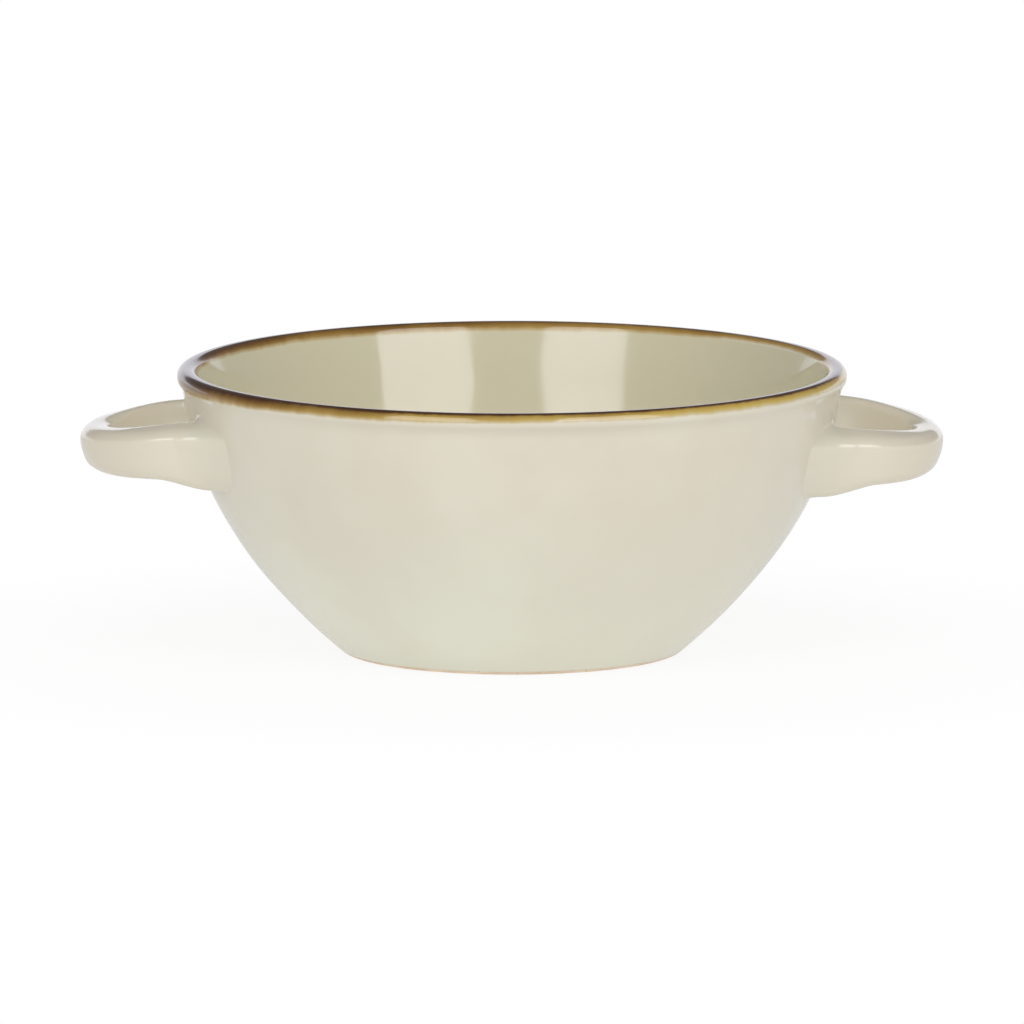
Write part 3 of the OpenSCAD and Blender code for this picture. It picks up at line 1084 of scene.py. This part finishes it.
class Lug:
    """A strap of clay bent into a loop and pressed on the wall, with its slip smoothed into fillets."""

    FINE_STEPS = 8193
    WALL_TRIES = 12
    SEEDS = {Side.LEFT: 31, Side.RIGHT: 47}

    def __init__(self, side: Side, twist: float, lower: float, profile: Profile, columns: int = 112) -> None:
        """Takes the lug's place on the bowl.

        Args:
            side: Side of the bowl.
            twist: Turn about the lug's own axis, in degrees.
            lower: How much lower than its sizes say it was pressed on, in millimetres.
            profile: The bowl's glazed line.
            columns: Number of places round the strap.
        """
        self.side = side
        self.twist = math.radians(twist)
        self.lower = lower
        self.profile = profile
        self.sizes = LugSizes()
        self.fillet = FilletSizes()
        sizes = self.sizes
        self.rim_r = profile.sizes.rim_d / 2
        self.loop_x = sizes.reach - sizes.strap_t / 2
        self.loop_y = (sizes.width - sizes.strap_t) / 2
        self.tip_top = profile.sizes.bowl_h - sizes.tip_drop
        self.root_top = profile.sizes.bowl_h - sizes.root_drop
        self.root_mid = self.root_top - sizes.root_h / 2
        wall = float(profile.wall_radius(np.array(self.root_mid)))
        self.root_x = math.sqrt(wall**2 - self.loop_y**2)
        self.arm_l = self.rim_r - self.root_x
        self.bend_l = math.pi / 2 * math.sqrt((self.loop_x**2 + self.loop_y**2) / 2)
        self.angles = self.even_angles(columns)

    def even_angles(self, count: int) -> np.ndarray:
        """Gives section angles whose places lie evenly round the strap, read from a fine walk round it.

        Args:
            count: Number of places.

        Returns:
            The angles in radians.
        """
        sizes = self.sizes
        fine = np.linspace(0.0, FULL_TURN, self.FINE_STEPS)
        out = sizes.strap_t * powered(np.cos(fine), 2.0 / sizes.square)
        up = (sizes.tip_h + sizes.root_h) / 2 * powered(np.sin(fine), 2.0 / sizes.square)
        walked = np.concatenate([[0.0], np.cumsum(np.hypot(np.diff(out), np.diff(up)))])
        return np.interp(np.linspace(0.0, walked[-1], count, endpoint=False), walked, fine)

    def section(self, share: np.ndarray, angle: np.ndarray) -> Arrays:
        """Gives the strap's section: |x|ⁿ + |z|ⁿ = 1, scaled to it, with faces that lean by their drafts.

        The power n is higher on the inner side, whose edge is crisper, and it rises from the round tip to the
        arms. The top is level beside the gap and falls with a power of the way towards the outer side.

        Args:
            share: Share of the way from the tip to the root.
            angle: Angle round the section, 0 on the outer face and a right angle on top.

        Returns:
            The distance outside the strap's centre line, and the height.
        """
        sizes = self.sizes
        top = self.tip_top + (self.root_top - self.tip_top) * eased(share)
        flare = eased((share - sizes.flare_start) / (1 - sizes.flare_start))
        tip_bottom = self.tip_top - sizes.tip_h
        bottom = tip_bottom + (self.root_top - sizes.root_h - tip_bottom) * flare
        grown = eased((share - sizes.arm_start) / sizes.arm_span)
        pairs = (sizes.outer_square, sizes.inner_square, sizes.top_slope)
        outer_square, inner_square, top_slope = (tip + (arm - tip) * grown for tip, arm in pairs)
        power = 2.0 / np.where(np.cos(angle) > 0, outer_square, inner_square)
        across = powered(np.cos(angle), power)
        rise = (top - bottom) / 2 * powered(np.sin(angle), power)
        outer = sizes.strap_t / 2 + rise * math.tan(math.radians(sizes.outer_draft))
        inner = -sizes.strap_t / 2 - rise * math.tan(math.radians(sizes.inner_draft))
        fall = top_slope * eased(np.sin(angle)) * ((1.0 + across) / 2) ** sizes.fall_power
        return (outer + inner) / 2 + (outer - inner) / 2 * across, (top + bottom) / 2 + rise - fall

    def pressed(self, points: np.ndarray) -> np.ndarray:
        """Turns places by the twist about the lug's own axis and lowers them.

        Args:
            points: Places in the lug's own frame.

        Returns:
            The places as the lug was pressed on.
        """
        cos, sin = math.cos(self.twist), math.sin(self.twist)
        across = points[..., 1]
        up = points[..., 2] - self.root_mid
        height = self.root_mid - self.lower + across * sin + up * cos
        return np.stack([points[..., 0], across * cos - up * sin, height], axis=-1)

    def sided(self, vectors: np.ndarray) -> np.ndarray:
        """Turns places or normals half round the bowl's axis for the left side only."""
        return vectors * np.array([-1.0, -1.0, 1.0]) if self.side is Side.LEFT else vectors

    def arm_at(self, out: np.ndarray, arm: Arm) -> np.ndarray:
        """Gives places on a straight arm: the section at its distance out, beside the lug's axis.

        Args:
            out: Distance out from the bowl's axis, with one column for each section angle.
            arm: Which arm.

        Returns:
            The pressed places.
        """
        share = np.minimum(1.0, (self.bend_l + self.rim_r - out) / (self.bend_l + self.arm_l))
        lateral, height = self.section(share, self.angles)
        return self.pressed(np.stack([out, arm.value * (self.loop_y + lateral), height], axis=-1))

    def bend_at(self, turn: np.ndarray) -> np.ndarray:
        """Gives places on the bend: the section carried round half an ellipse, square to it.

        Args:
            turn: Angles round the half ellipse, with a last axis of length one.

        Returns:
            The pressed places.
        """
        share = np.abs(turn) / (math.pi / 2) * self.bend_l / (self.bend_l + self.arm_l)
        lateral, height = self.section(share, self.angles)
        centre = np.stack([self.rim_r + self.loop_x * np.cos(turn), self.loop_y * np.sin(turn)], axis=-1)
        outward = unit(np.stack([self.loop_y * np.cos(turn), self.loop_x * np.sin(turn)], axis=-1))
        flat = centre + lateral[..., None] * outward
        return self.pressed(np.concatenate([flat, height[..., None]], axis=-1))

    def meets_wall(self, arm: Arm) -> np.ndarray:
        """Finds how far out each line along the arm meets the wall, by walking back to it a few times.

        Args:
            arm: Which arm.

        Returns:
            One distance for each section angle.
        """
        out = np.full(len(self.angles), self.root_x)
        for _ in range(self.WALL_TRIES):
            points = self.arm_at(out, arm)
            out = self.profile.on_wall(points[:, 1], points[:, 2])[0][:, 0]
        return out

    def loop_sheets(self) -> list[Sheet]:
        """Makes the loop: in along one arm, round the bend and back, with its ends closed inside the wall.

        The surface is pressed in by gentle ripples that fade out towards the roots. Its glaze is thin on the
        edges, most on top, and pooled at the roots.

        Returns:
            The sheets of a closed strap.
        """
        sizes = self.sizes
        steps = np.linspace(0.0, 1.0, sizes.arm_rows)[:, None]
        near_end, far_end = (self.meets_wall(arm) - sizes.sunk for arm in Arm)
        near = self.arm_at(near_end + steps * (self.rim_r - near_end), Arm.NEAR)
        far = self.arm_at(far_end + steps[::-1] * (self.rim_r - far_end), Arm.FAR)
        turn = np.linspace(-math.pi / 2, math.pi / 2, sizes.bend_rows)[1:-1, None]
        points = np.concatenate([near, self.bend_at(turn), far])
        middle = points.mean(axis=1, keepdims=True)
        normals = facing(grid_normals(points), points - middle)
        walked = np.linalg.norm(np.diff(middle[:, 0], axis=0), axis=1)
        along = np.concatenate([[0.0], np.cumsum(walked)])[:, None]
        fade = eased((along - sizes.uneven_still) / sizes.uneven_fade)
        fade = fade * eased((along[-1] - along - sizes.uneven_still) / sizes.uneven_fade)
        angles = np.broadcast_to(self.angles[None], points.shape[:2])
        seed = self.SEEDS[self.side]
        waves = ripples(angles, along + angles * 0.0, seed, sizes.uneven_waves, sizes.uneven_least)
        points = points - (fade * sizes.uneven * (0.5 + 0.5 * np.tanh(waves)))[..., None] * normals
        shaped = grid_normals(points)
        shaped = np.where(np.einsum("ijk,ijk->ij", shaped, normals)[..., None] < 0, -shaped, shaped)
        edge = np.abs(np.sin(2.0 * angles)) ** 3
        top = eased((np.sin(angles) - sizes.thin_from) / sizes.thin_span)
        thin = sizes.thin_most * fade * edge * (sizes.thin_below + (1.0 - sizes.thin_below) * top)
        pool = sizes.root_pool * (1.0 - fade) * np.ones_like(edge)
        sheets = [Sheet(points, shaped, {"thin": thin, "pool": pool})]
        for row in (0, -1):
            cap = np.stack([points[row], np.broadcast_to(points[row].mean(axis=0), points[row].shape)])
            sheets.append(Sheet(cap, np.broadcast_to((-1.0, 0.0, 0.0), cap.shape)))
        return [Sheet(self.sided(s.points), self.sided(s.normals), s.values) for s in sheets]

    def fillet_sheet(self, arm: Arm) -> Sheet:
        """Makes the smoothed slip round one arm: a cubic line from the arm to the wall at each section angle.

        It leaves the arm along its surface. It reaches the wall along it on the inner side, and nearly
        along the straight line from the arm on the outer side, where it is drawn out into a pad with a
        crease at its end. The ring closes on itself behind both surfaces.

        Args:
            arm: Which arm.

        Returns:
            A sheet that closes both ways.
        """
        sizes = self.fillet
        meet = self.meets_wall(arm)
        corner = self.arm_at(meet, arm)
        lateral = arm.value * corner[:, 1]
        outer = (lateral - lateral.min()) / (lateral.max() - lateral.min())
        upper = (corner[:, 2] - corner[:, 2].min()) / (corner[:, 2].max() - corner[:, 2].min())
        start = self.arm_at(meet + sizes.arm_inner + sizes.arm_outer * outer**sizes.arm_power, arm)
        ring = np.roll(corner, -1, axis=0)[:, 1:] - np.roll(corner, 1, axis=0)[:, 1:]
        outward = unit(np.stack([ring[:, 1], -ring[:, 0]], axis=-1))
        outward = facing(outward, corner[:, 1:] - corner[:, 1:].mean(axis=0))
        arm_normal = np.concatenate([np.zeros((len(meet), 1)), outward], axis=1)
        rounded = 1.0 - sizes.round_corner * np.abs(2.0 * upper - 1.0) ** 3
        spread = sizes.wall_outer * outer * rounded - sizes.wall_inner * (1.0 - outer)
        across = corner[:, 1] + arm.value * spread
        climb = sizes.climb_inner + (sizes.climb_outer - sizes.climb_inner) * outer
        height = corner[:, 2] + climb * upper - sizes.wall_bottom * (1.0 - upper)
        end, wall_normal = self.profile.on_wall(across, np.minimum(height, sizes.highest))
        chord = corner - end
        chord = chord - np.einsum("ij,ij->i", chord, wall_normal)[:, None] * wall_normal
        straight = np.linalg.norm(start - end, axis=1)
        direct = (start - end) * (np.linalg.norm(chord, axis=1) / straight)[:, None]
        crease = (sizes.straight * eased(outer))[:, None]
        start = start - sizes.arm_sunk * arm_normal
        end = end - sizes.wall_sunk * wall_normal
        third = end + sizes.pull * ((1.0 - crease) * chord + crease * direct)
        poles = np.stack([start, start + sizes.pull * (corner - start), third, end])
        hollow, ways = cubic(poles[:, None], np.linspace(0.0, 1.0, sizes.rows)[:, None, None])
        around = np.roll(hollow, -1, axis=1) - np.roll(hollow, 1, axis=1)
        normals = unit(np.cross(around, ways))
        normals = -normals if np.sum(normals[-1] * wall_normal) < 0 else normals
        both = arm_normal + self.profile.on_wall(corner[:, 1], corner[:, 2])[1]
        points = np.concatenate([hollow, (corner - sizes.behind * both)[None]])
        away = np.concatenate([normals, -unit(both)[None]])
        aside = (self.angles - sizes.shoulder + math.pi) % FULL_TURN - math.pi
        shoulder = np.exp(-(aside**2) / sizes.shoulder_spread)
        depth = np.sin(np.linspace(0.0, math.pi, sizes.rows))[:, None]
        depth = depth * (sizes.pool_even + (1.0 - sizes.pool_even) * shoulder)
        pool = np.concatenate([sizes.pool_least + sizes.pool_most * depth, np.zeros((1, len(meet)))])
        return Sheet(self.sided(points), self.sided(away), {"pool": pool}, close_rows=True)


@dataclass
class GlazedBowl:
    """The thrown bowl: its clay, its coats, the brown rim, the foot and the glaze under it."""

    sizes: BowlSizes
    skin: BowlSkin
    heel_rows: int = 14
    foot_rows: int = 8
    recess_rows: int = 26
    hidden_rise: float = 0.3
    recess_waves: int = 3
    recess_swirl: float = 5.0
    recess_pool: float = 0.8

    def dress(self, ivory: IvoryGlaze, shaded_cream: IvoryGlaze, rim: RimGlaze, clay: bpy.types.Material) -> None:
        """Builds the bowl's pieces.

        Args:
            ivory: Glaze of the outside.
            shaded_cream: Glaze of the inside.
            rim: Brown glaze of the lip.
            clay: Bare clay.
        """
        profile = self.skin.profile
        first, last = profile.band_first, profile.band_last
        coats = (
            ("outside_coat", "outside_glaze", "ivory_glaze", 0, first, "outside_ivory", ivory),
            ("rim_glaze", "rim_band", "brown_glaze", first, last, "rim_brown", ivory),
            # The inside coat's glaze carries painted shade of the hollow, besides a deeper glaze tone.
            ("inside_coat", "inside_glaze", "ivory_glaze", last, profile.last, "inside_ivory", shaded_cream),
        )
        for name, node, slot, start, end, finish, glaze in coats:
            shell = self.skin.shell(start, end, self.sizes.glaze_t)
            Piece(name, node, slot).build(shell, SkinFinish(finish, glaze, rim).build())
        Piece("turned_foot", "foot_ring", "bare_clay").build(self.foot(), clay)
        Piece("recess_glaze", "base_glaze", "ivory_glaze").build(self.recess(), ivory.build())
        Piece("clay_body", "clay_bowl", "bare_clay").build(self.body(), clay)

    def joint(self) -> Pair:
        """Gives the radius and the height at which the clay meets the top of the foot."""
        height = self.sizes.recess_h + self.sizes.glaze_t
        return float(self.skin.profile.wall_radius(np.array(height))) - self.sizes.glaze_t, height

    def body(self) -> list[Sheet]:
        """Makes the clay under the coats: their back all over, closed by a flat underside.

        Returns:
            The sheets of a closed body.
        """
        depth = self.sizes.glaze_t
        behind = self.skin.outward
        back = self.skin.points - depth * behind
        joint_r, joint_h = self.joint()
        first = int(np.argmax(back[:, 0, 2] > joint_h + depth))
        edge = spun(joint_r, joint_h, self.skin.turn)
        side = Sheet(np.concatenate([edge[None], back[first:]]), np.concatenate([behind[:1], behind[first:]]))
        under = np.stack([edge, edge * [0.0, 0.0, 1.0]])
        return [side, Sheet(under, np.broadcast_to((0.0, 0.0, -1.0), under.shape))]

    def foot(self) -> list[Sheet]:
        """Turns the bare foot: its inner side, the flat that it stands on, its heel and its hidden top.

        Returns:
            One sheet that closes both ways.
        """
        sizes = self.sizes
        foot_r = sizes.foot_d / 2
        stand_r, stand_in_r, recess_r = sizes.stand_radii()
        joint_r, joint_h = self.joint()
        corner = np.array([foot_r - sizes.bare_h * math.tan(math.radians(sizes.heel_lean)), 0.0])
        t = np.linspace(0.0, 1.0, self.heel_rows)[:, None]
        heel = (1 - t) ** 2 * [stand_r, 0.0] + 2 * (1 - t) * t * corner + t**2 * [foot_r, sizes.bare_h]
        side = np.linspace(0.0, 1.0, self.foot_rows)[:, None]
        inner = (1 - side) * [recess_r, joint_h] + side * [stand_in_r, 0.0]
        flat = np.linspace(stand_in_r, stand_r, self.foot_rows)[1:-1]
        stand = np.stack([flat, flat * 0.0], axis=1)
        hidden = np.array([[foot_r - sizes.glaze_t, sizes.bare_h + self.hidden_rise], [joint_r, joint_h]])
        line = np.concatenate([inner, stand, heel, hidden])
        way = np.roll(line, -1, axis=0) - np.roll(line, 1, axis=0)
        outward = unit(np.stack([way[:, 1], -way[:, 0]], axis=1))
        points, normals = (spun(item[:, :1], item[:, 1:], self.skin.turn) for item in (line, outward))
        return [Sheet(points, normals, close_rows=True)]

    def recess(self) -> list[Sheet]:
        """Makes the glaze under the bowl: a disc that is thinnest in the middle and meets the foot all round.

        Returns:
            The sheets of a closed disc.
        """
        sizes = self.sizes
        turn = self.skin.turn
        share = np.linspace(1.0, 0.0, self.recess_rows)[:, None]
        waves = (share - share**2) * np.cos(self.recess_waves * turn + self.recess_swirl * share)
        low = sizes.recess_h + sizes.recess_dome * (1.0 - eased(share)) + sizes.recess_wave * waves
        under = spun(share * sizes.stand_radii()[2], low, turn)
        over = under.copy()
        over[..., 2] = sizes.recess_h + sizes.glaze_t
        down = grid_normals(under)
        down = np.where(down[..., 2:] > 0, -down, down)
        down[-1] = (0.0, 0.0, -1.0)
        edge = np.stack([under[0], over[0]])
        outward = np.broadcast_to(unit(under[0] * [1.0, 1.0, 0.0]), edge.shape)
        pool = {"pool": np.broadcast_to(eased(share) ** 6 * self.recess_pool, under.shape[:2])}
        top = Sheet(over, np.broadcast_to((0.0, 0.0, 1.0), over.shape))
        return [Sheet(under, down, pool), top, Sheet(edge, outward)]


@dataclass(frozen=True)
class Lamp:
    """A soft lamp, by its azimuth from the camera's, its elevation and the span that it fills, in degrees.

    Each square metre of it sends its radiance times the watts.
    """

    name: str
    azimuth: float
    elevation: float
    width: float
    height: float
    radiance: float
    distance: float = 3.0
    watts: float = 4.0

    def place(self, azimuth: float) -> None:
        """Hangs the lamp at its distance, turned to the bowl.

        Args:
            azimuth: Azimuth of the camera, from which the lamp's azimuth is counted.
        """
        lamp = bpy.data.lights.new(self.name, "AREA")
        lamp.shape = "RECTANGLE"
        lamp.size = 2 * self.distance * math.tan(math.radians(self.width / 2))
        lamp.size_y = 2 * self.distance * math.tan(math.radians(self.height / 2))
        lamp.energy = self.radiance * self.watts * lamp.size * lamp.size_y
        way = direction(azimuth + self.azimuth, self.elevation)
        hung = aimed(self.name, lamp, way, self.distance, AIM_HEIGHT)
        hung.visible_camera = False
        hung.visible_glossy = False


@dataclass(frozen=True)
class Card:
    """A bright card that only the gloss shows, by the directions of its corners from the bowl."""

    name: str
    corners: tuple[Pair, ...]
    radiance: float
    distance: float = 3.2
    tint: tuple[float, float, float, float] = (0.97, 0.98, 1.05, 1.0)

    def place(self, azimuth: float) -> None:
        """Hangs the card at its distance.

        Args:
            azimuth: Azimuth of the camera, from which the corners' azimuths are counted.
        """
        way = np.array([direction(turn + azimuth, rise) for turn, rise in self.corners])
        mesh = bpy.data.meshes.new(self.name)
        places = (way * self.distance + [0.0, 0.0, AIM_HEIGHT]).tolist()
        mesh.from_pydata(places, [], [tuple(range(len(self.corners)))])
        bench = Bench(bpy.data.materials.new(self.name))
        light = bench.node("ShaderNodeEmission", Color=self.tint, Strength=self.radiance)
        mesh.materials.append(bench.close(light.outputs[0]))
        hung = linked(self.name, mesh)
        hung.visible_camera = False
        hung.visible_diffuse = False
        hung.visible_shadow = False


@dataclass(frozen=True)
class Studio:
    """A pale floor, one sky for light and one for gloss, soft lamps, cards for gloss, and the camera.

    The levels of light and gloss hold at the heights beside them, from the horizon to the zenith. Lengths
    are in metres. A pair is where a smooth step starts and ends.
    """

    azimuth: float = -3.2
    elevation: float = 8.4
    distance: float = 8.0
    lens: float = 1345.0
    sensor: float = 36.0
    aim_height: float = 0.0293
    far_clip: float = 50.0
    floor_rings: tuple[float, ...] = (0.0, 0.1, 0.3, 1.0, 3.0)
    floor_sides: int = 128
    floor_white: Colour = (0.94, 0.94, 0.93)
    floor_grain: float = 0.985
    grain_scale: float = 30.0
    below: float = 0.00003
    glow: float = 0.65
    shadow_reach: Pair = (0.04, 0.17)
    shadow_share: float = 0.88
    gloss_widens: float = 1.8
    gloss_floor: Pair = (0.35, 0.95)
    gloss_floor_reach: float = 0.3
    light: Triple = (0.65, 0.5, 0.15)
    light_heights: Triple = (0.04, 0.45, 0.95)
    gloss: Triple = (0.5, 0.18, 0.14)
    gloss_heights: Triple = (0.06, 0.30, 0.95)
    backdrop_behind: Pair = (0.80, 0.92)
    backdrop_low: Pair = (0.06, 0.13)
    lamps: tuple[Lamp, ...] = (
        Lamp("right_lamp", 33.0, 38.0, 38.0, 46.0, 1.62),
        Lamp("left_lamp", -27.0, 38.0, 36.0, 46.0, 1.52),
        Lamp("back_lamp", 180.0, 30.0, 60.0, 40.0, 0.30),
    )
    cards: tuple[Card, ...] = (
        Card("right_card", ((14.0, 10.0), (52.0, 10.0), (58.0, 52.0), (23.0, 52.0)), 3.8),
        Card("left_card", ((-10.0, 10.0), (-44.0, 10.0), (-51.0, 52.0), (-19.0, 52.0)), 3.8),
        Card("back_left_card", ((-128.0, -1.0), (-153.0, -1.0), (-153.0, 8.0), (-128.0, 4.0)), 1.2),
        Card("back_right_card", ((-207.0, -1.0), (-232.0, -1.0), (-232.0, 4.0), (-207.0, 8.0)), 1.2),
        Card("back_card", (
            (-154.0, -1.0), (-167.0, -1.0), (-180.0, -1.0), (-193.0, -1.0), (-206.0, -1.0),
            (-206.0, 8.0), (-193.0, 13.0), (-180.0, 15.0), (-167.0, 13.0), (-154.0, 8.0),
        ), 1.2),
    )

    def floor(self) -> None:
        """Lays a pale disc just under the foot."""
        turn = np.linspace(0.0, FULL_TURN, self.floor_sides, endpoint=False)
        points = spun(np.array(self.floor_rings)[:, None], -self.below, turn).reshape(-1, 3)
        faces = grid_faces(len(self.floor_rings), self.floor_sides)[:, ::-1]
        mesh = bpy.data.meshes.new("pale_floor")
        mesh.from_pydata(points.tolist(), [], faces.tolist())
        mesh.materials.append(self.floor_finish())
        linked("pale_floor", mesh)

    def floor_finish(self) -> bpy.types.Material:
        """Makes the floor's finish: diffuse white under even white light, by the kind of ray that sees it.

        The camera sees the bowl's soft shadow near it and white further away. Gloss sees a dim floor that
        grows white behind the bowl, and diffuse rays an even glow. Seen from below the floor is clear to
        the camera, so that the bowl's underside shows.

        Returns:
            The material.
        """
        bench = Bench(bpy.data.materials.new("pale_floor"))
        path = bench.node("ShaderNodeLightPath").outputs
        away = bench.node("ShaderNodeVectorMath", {"operation": "LENGTH"}, Vector=bench.place)
        share = bench.span(away.outputs["Value"], *self.shadow_reach, self.shadow_share, 1.0)
        seen = bench.sum("MULTIPLY", path["Is Camera Ray"], share)
        gloss = bench.sum("MAXIMUM", path["Is Glossy Ray"], path["Is Transmission Ray"])
        apart = bench.node("ShaderNodeSeparateXYZ", Vector=bench.place).outputs
        aside = bench.sum("MULTIPLY", bench.sum("ABSOLUTE", apart["X"]), self.gloss_widens)
        depth = bench.sum("SUBTRACT", apart["Y"], aside)
        behind = bench.span(depth, 0.0, self.gloss_floor_reach, *self.gloss_floor)
        seen = bench.sum("MAXIMUM", seen, bench.sum("MULTIPLY", gloss, behind))
        seen = bench.sum("MAXIMUM", seen, bench.sum("MULTIPLY", path["Is Diffuse Ray"], self.glow))
        grain = bench.span(bench.noise(self.grain_scale, 2.0), *GRAIN_EDGES)
        duller = tuple(self.floor_grain * part for part in self.floor_white)
        white = bench.blend(grain, self.floor_white, duller)
        matte = bench.node("ShaderNodeBsdfDiffuse", Color=white).outputs[0]
        light = bench.node("ShaderNodeEmission", Color=WHITE, Strength=1.0).outputs[0]
        under = bench.node("ShaderNodeNewGeometry").outputs["Backfacing"]
        clear = bench.node("ShaderNodeBsdfTransparent").outputs[0]
        from_below = bench.sum("MULTIPLY", under, path["Is Camera Ray"])
        return bench.close(bench.lay(from_below, bench.lay(seen, matte, light), clear))

    def sky(self) -> None:
        """Makes the world: white for the camera, a soft gradient as light and a darker one for gloss.

        For gloss it is white low behind the bowl, where the backdrop stands.
        """
        world = bpy.data.worlds.new("studio_sky")
        bpy.context.scene.world = world
        bench = Bench(world)
        way = bench.node("ShaderNodeSeparateXYZ", Vector=bench.coordinates["Generated"]).outputs
        light = self.gradient(bench, way["Z"], self.light, self.light_heights)
        shine = self.gradient(bench, way["Z"], self.gloss, self.gloss_heights)
        white = bench.node("ShaderNodeBackground", Color=WHITE, Strength=1.0).outputs[0]
        behind = bench.span(way["Y"], *self.backdrop_behind)
        low = bench.span(way["Z"], *self.backdrop_low, 1.0, 0.0)
        shine = bench.lay(bench.sum("MULTIPLY", behind, low), shine, white)
        path = bench.node("ShaderNodeLightPath").outputs
        gloss = bench.sum("MAXIMUM", path["Is Glossy Ray"], path["Is Transmission Ray"])
        shown = bench.lay(path["Is Camera Ray"], bench.lay(gloss, light, shine), white)
        bench.close(shown, "ShaderNodeOutputWorld")

    @staticmethod
    def gradient(bench: Bench, height: Socket, levels: Triple, heights: Triple) -> Socket:
        """Makes a background whose strength goes from the horizon's level over the middle's to the zenith's.

        Args:
            bench: The world under work.
            height: Height of the direction, from 0 at the horizon to 1 overhead.
            levels: Strengths at the horizon, in the middle and overhead.
            heights: Heights at which they hold.

        Returns:
            The background's socket.
        """
        peak = max(levels)
        stops = tuple((place, *(level / peak,) * 3, 1.0) for place, level in zip(heights, levels))
        colour = bench.ramp(height, stops).outputs[0]
        return bench.node("ShaderNodeBackground", Color=colour, Strength=peak).outputs[0]

    def camera(self) -> None:
        """Sets the camera at the photograph's angle, level with the bowl's middle."""
        data = bpy.data.cameras.new("camera")
        data.lens = self.lens
        data.sensor_width = self.sensor
        data.clip_end = self.far_clip
        way = direction(self.azimuth, self.elevation)
        bpy.context.scene.camera = aimed("camera", data, way, self.distance, self.aim_height)

    def build(self) -> None:
        """Builds the studio and sets the plain view transform."""
        self.floor()
        self.sky()
        for light in self.lamps + self.cards:
            light.place(self.azimuth)
        self.camera()
        bpy.context.scene.view_settings.view_transform = "Standard"


def main() -> None:
    """Builds the pieces in order, then the studio."""
    logging.basicConfig(level=logging.INFO, format="%(name)s: %(message)s")
    # The outside's cool low colour is lighter than its warm top: painted light from below, besides the
    # glaze's greener tone low down.
    ivory = IvoryGlaze("ivory", (0.685, 0.622, 0.510), (0.745, 0.731, 0.606), (0.71, 0.70, 0.575))
    # The inside's glaze is a little darker and yellower than the outside's: partly painted shade and bounce
    # tint of the hollow, partly the glaze's own deeper tone.
    shaded_cream = IvoryGlaze("shaded_cream", (0.650, 0.603, 0.443), (0.632, 0.597, 0.432), (0.61, 0.585, 0.42))
    sizes = BowlSizes()
    profile = Profile(sizes)
    GlazedBowl(sizes, BowlSkin(profile)).dress(ivory, shaded_cream, RimGlaze(), BareClay().build())
    coat = IvoryGlaze("lug_ivory", (0.715, 0.650, 0.530), (0.700, 0.652, 0.532), ivory.pooled).build()
    for side, twist, lower in ((Side.LEFT, 0.6, -0.7), (Side.RIGHT, 2.9, 0.5)):
        lug = Lug(side, twist, lower, profile)
        Piece(f"{side.value}_loop", f"{side.value}_lug", "ivory_glaze").build(lug.loop_sheets(), coat)
        fillets = [lug.fillet_sheet(arm) for arm in Arm]
        Piece(f"{side.value}_root_fillets", f"{side.value}_lug_slip", "ivory_glaze").build(fillets, coat)
    Studio().build()


if __name__ == "__main__":
    main()
